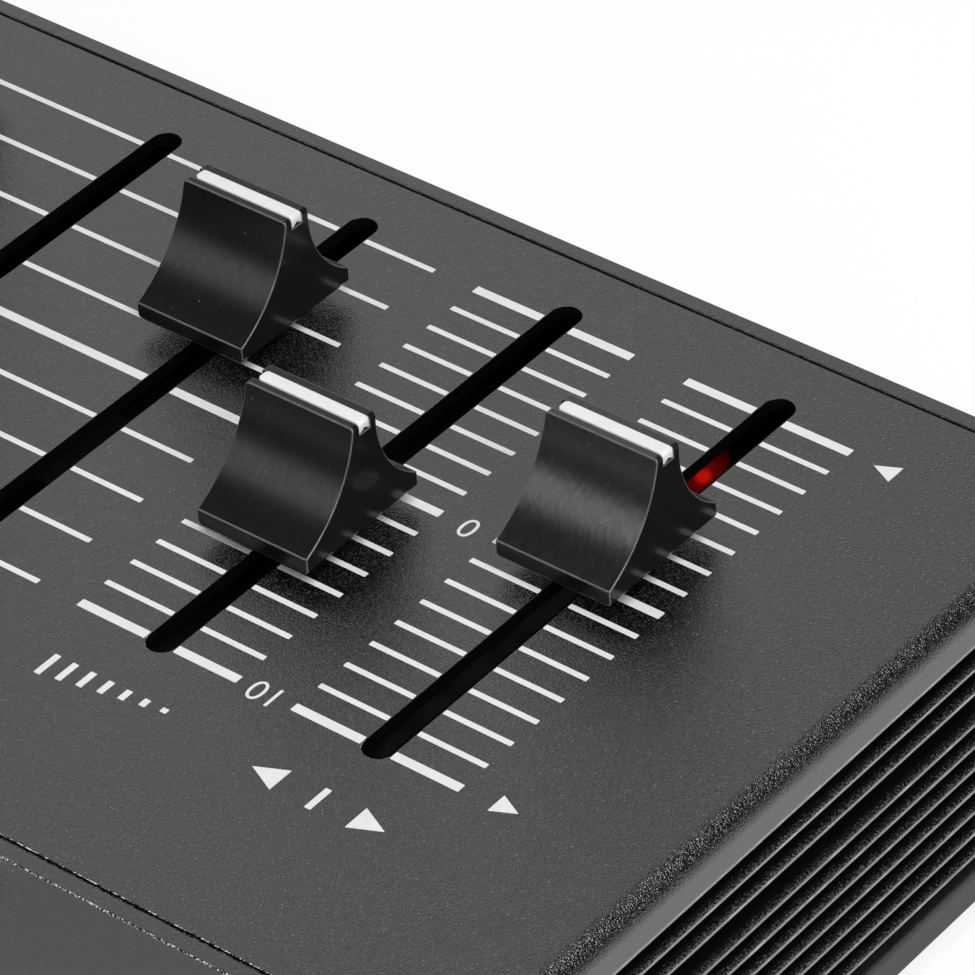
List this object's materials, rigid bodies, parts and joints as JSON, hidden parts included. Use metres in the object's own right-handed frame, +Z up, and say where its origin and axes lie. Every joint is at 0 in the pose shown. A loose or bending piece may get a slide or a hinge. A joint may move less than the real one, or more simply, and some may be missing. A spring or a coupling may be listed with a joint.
{
  "type": "audio equalizer",
  "caption": "Desktop audio equalizer in a finned extruded case, with straight sliders for volume, balance and bands on its top panel and phono sockets behind.",
  "frame": {"origin": "on the floor, under the middle of the whole object's box", "axes": "+X to the user's right, +Y to the rear, +Z up"},
  "size_m": [0.21, 0.0884, 0.0413],
  "materials": {
    "case_black": "fine sandblasted black coating",
    "screw_black": "black oxide",
    "foot_rubber": "matt",
    "board_green": "solder mask",
    "lamp_red": "clear tinted",
    "cap_sleeve": "shrink sleeve",
    "chip_black": "matt moulded",
    "socket_black": "satin moulded",
    "barrel_metal": "bright nickel plate",
    "insulator_white": "moulded",
    "insulator_red": "moulded",
    "knob_black": "satin moulded",
    "line_white": "moulded",
    "lever_steel": "plated sheet",
    "track_steel": "dark plated sheet"
  },
  "bodies": {
    "case": {"top_shell": "case_black", "bottom_shell": "case_black", "front_plate": "case_black", "rear_plate": "case_black", "front_screws": "screw_black", "rear_screws": "screw_black", "rubber_feet": "foot_rubber", "main_board": "board_green", "indicator_lamp": "lamp_red", "capacitors": "cap_sleeve", "amplifier_chips": "chip_black", "input_housing": "socket_black", "output_housing": "socket_black", "input_barrels": "barrel_metal", "output_barrels": "barrel_metal", "left_insulators": "insulator_white", "right_insulators": "insulator_red", "jack_contacts": "barrel_metal", "power_inlet": "socket_black", "inlet_pin": "barrel_metal", "switch_housing": "socket_black", "balance_track": "track_steel", "volume_track": "track_steel", "band_1_track": "track_steel", "band_2_track": "track_steel", "band_3_track": "track_steel", "band_4_track": "track_steel", "band_5_track": "track_steel", "band_6_track": "track_steel", "band_7_track": "track_steel"},
    "rocker": {"power_rocker": "socket_black"},
    "balance_slider": {"balance_knob": "knob_black", "balance_line": "line_white", "balance_lever": "lever_steel"},
    "volume_slider": {"volume_knob": "knob_black", "volume_line": "line_white", "volume_lever": "lever_steel"},
    "band_1_slider": {"band_1_knob": "knob_black", "band_1_line": "line_white", "band_1_lever": "lever_steel"},
    "band_2_slider": {"band_2_knob": "knob_black", "band_2_line": "line_white", "band_2_lever": "lever_steel"},
    "band_3_slider": {"band_3_knob": "knob_black", "band_3_line": "line_white", "band_3_lever": "lever_steel"},
    "band_4_slider": {"band_4_knob": "knob_black", "band_4_line": "line_white", "band_4_lever": "lever_steel"},
    "band_5_slider": {"band_5_knob": "knob_black", "band_5_line": "line_white", "band_5_lever": "lever_steel"},
    "band_6_slider": {"band_6_knob": "knob_black", "band_6_line": "line_white", "band_6_lever": "lever_steel"},
    "band_7_slider": {"band_7_knob": "knob_black", "band_7_line": "line_white", "band_7_lever": "lever_steel"}
  },
  "joints": [
    {"name": "balance_slide", "type": "slide", "parent": "case", "child": "balance_slider", "axis": [0, 1, 0], "range_m": [-0.01793, 0.02707]},
    {"name": "volume_slide", "type": "slide", "parent": "case", "child": "volume_slider", "axis": [0, 1, 0], "range_m": [-0.02742, 0.01758]},
    {"name": "band_1_slide", "type": "slide", "parent": "case", "child": "band_1_slider", "axis": [0, 1, 0], "range_m": [-0.01125, 0.03375]},
    {"name": "band_2_slide", "type": "slide", "parent": "case", "child": "band_2_slider", "axis": [0, 1, 0], "range_m": [-0.03375, 0.01125]},
    {"name": "band_3_slide", "type": "slide", "parent": "case", "child": "band_3_slider", "axis": [0, 1, 0], "range_m": [-0.00703, 0.03797]},
    {"name": "band_4_slide", "type": "slide", "parent": "case", "child": "band_4_slider", "axis": [0, 1, 0], "range_m": [-0.02813, 0.01688]},
    {"name": "band_5_slide", "type": "slide", "parent": "case", "child": "band_5_slider", "axis": [0, 1, 0], "range_m": [-0.01688, 0.02813]},
    {"name": "band_6_slide", "type": "slide", "parent": "case", "child": "band_6_slider", "axis": [0, 1, 0], "range_m": [-0.01125, 0.03375]},
    {"name": "band_7_slide", "type": "slide", "parent": "case", "child": "band_7_slider", "axis": [0, 1, 0], "range_m": [-0.03094, 0.01406]},
    {"name": "rocker_tip", "type": "hinge", "parent": "case", "child": "rocker", "pos_m": [0.07446, 0.0337, 0.0225], "axis": [0, 0, 1], "range_deg": [-20, 0]}
  ]
}
